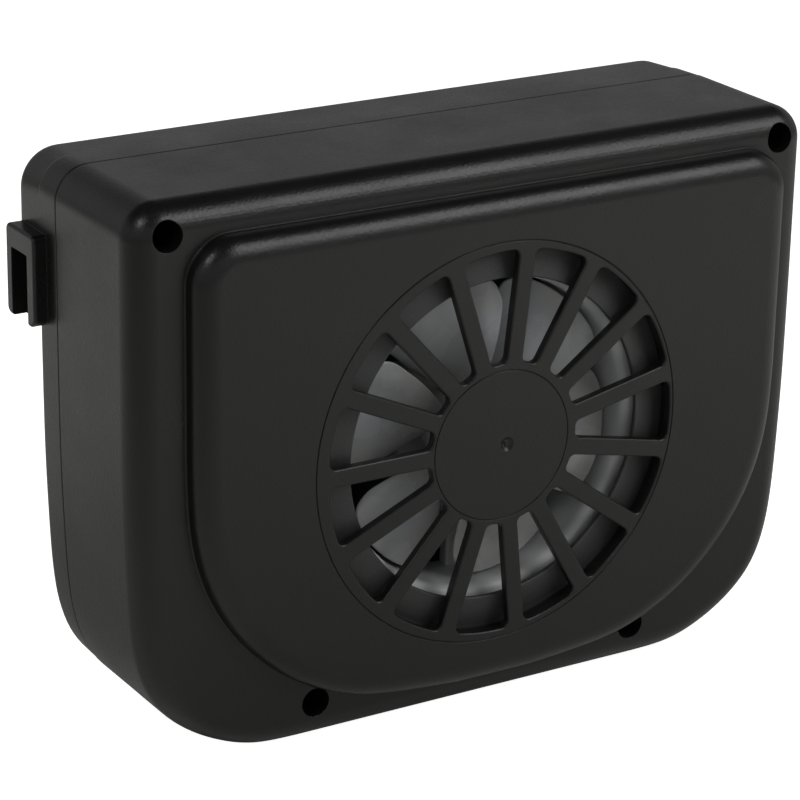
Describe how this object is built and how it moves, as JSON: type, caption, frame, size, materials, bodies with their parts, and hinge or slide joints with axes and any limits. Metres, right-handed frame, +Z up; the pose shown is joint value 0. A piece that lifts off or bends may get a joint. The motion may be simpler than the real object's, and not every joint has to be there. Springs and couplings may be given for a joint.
{
  "type": "car window ventilator",
  "caption": "Solar powered extractor fan that hangs on the top edge of a car side window: black housing, round intake grille, small impeller, hood with a glass channel and a solar panel behind the glass",
  "frame": {"origin": "centre of the footprint, on the ground under the housing", "axes": "+Z up, intake grille faces -Y, hood and solar panel face +Y, +X to the right of someone who looks at the grille"},
  "size_m": [0.1568, 0.0556, 0.1132],
  "materials": {
    "shell_black": "satin, fine grain",
    "baffle_black": "matt",
    "duct_white": "satin off-white",
    "impeller_milky": "translucent milky, satin",
    "motor_steel": "zinc plated",
    "screw_steel": "dark zinc",
    "sintered_bronze": "sintered",
    "terminal_brass": "bare",
    "lamination_steel": "varnished",
    "coil_copper": "enamelled wire",
    "ferrite": "ground ferrite",
    "carbon": "matt graphite",
    "nylon": "natural",
    "solar_cell": "dark blue silicon",
    "board_green": "solder-masked board",
    "clear_epoxy": "clear, glossy",
    "foam_black": "closed-cell foam",
    "wire_red": "insulation",
    "wire_black": "insulation"
  },
  "bodies": {
    "housing": {"front_shell": "shell_black", "rear_shell": "shell_black", "intake_baffle_ring": "baffle_black", "fan_duct": "duct_white", "motor_can": "motor_steel", "motor_end_cap": "nylon", "motor_front_bushing": "sintered_bronze", "motor_rear_bushing": "sintered_bronze", "field_magnet_left": "ferrite", "field_magnet_right": "ferrite", "brush_left": "carbon", "brush_right": "carbon", "terminal_left": "terminal_brass", "terminal_right": "terminal_brass", "motor_screw_left": "screw_steel", "motor_screw_right": "screw_steel", "panel_gasket": "foam_black", "solar_board": "board_green", "cell_cover": "clear_epoxy", "lead_red": "wire_red", "lead_black": "wire_black", "case_screw_top_left": "screw_steel", "case_screw_top_right": "screw_steel", "case_screw_bottom_left": "screw_steel", "case_screw_bottom_right": "screw_steel", "duct_screw_1": "screw_steel", "panel_screw_1": "screw_steel", "duct_screw_2": "screw_steel", "panel_screw_2": "screw_steel", "duct_screw_3": "screw_steel", "panel_screw_3": "screw_steel", "duct_screw_4": "screw_steel", "panel_screw_4": "screw_steel", "solar_cell_1": "solar_cell", "solar_cell_2": "solar_cell", "solar_cell_3": "solar_cell", "solar_cell_4": "solar_cell", "solar_cell_5": "solar_cell"},
    "rotor": {"impeller": "impeller_milky", "motor_shaft": "motor_steel", "armature_core": "lamination_steel", "armature_coil_1": "coil_copper", "armature_coil_2": "coil_copper", "armature_coil_3": "coil_copper", "commutator": "coil_copper"}
  },
  "joints": [
    {"name": "fan_spin", "type": "hinge", "parent": "housing", "child": "rotor", "pos_m": [0.0017, 0, 0.0563], "axis": [0, 1, 0], "continuous": true}
  ]
}
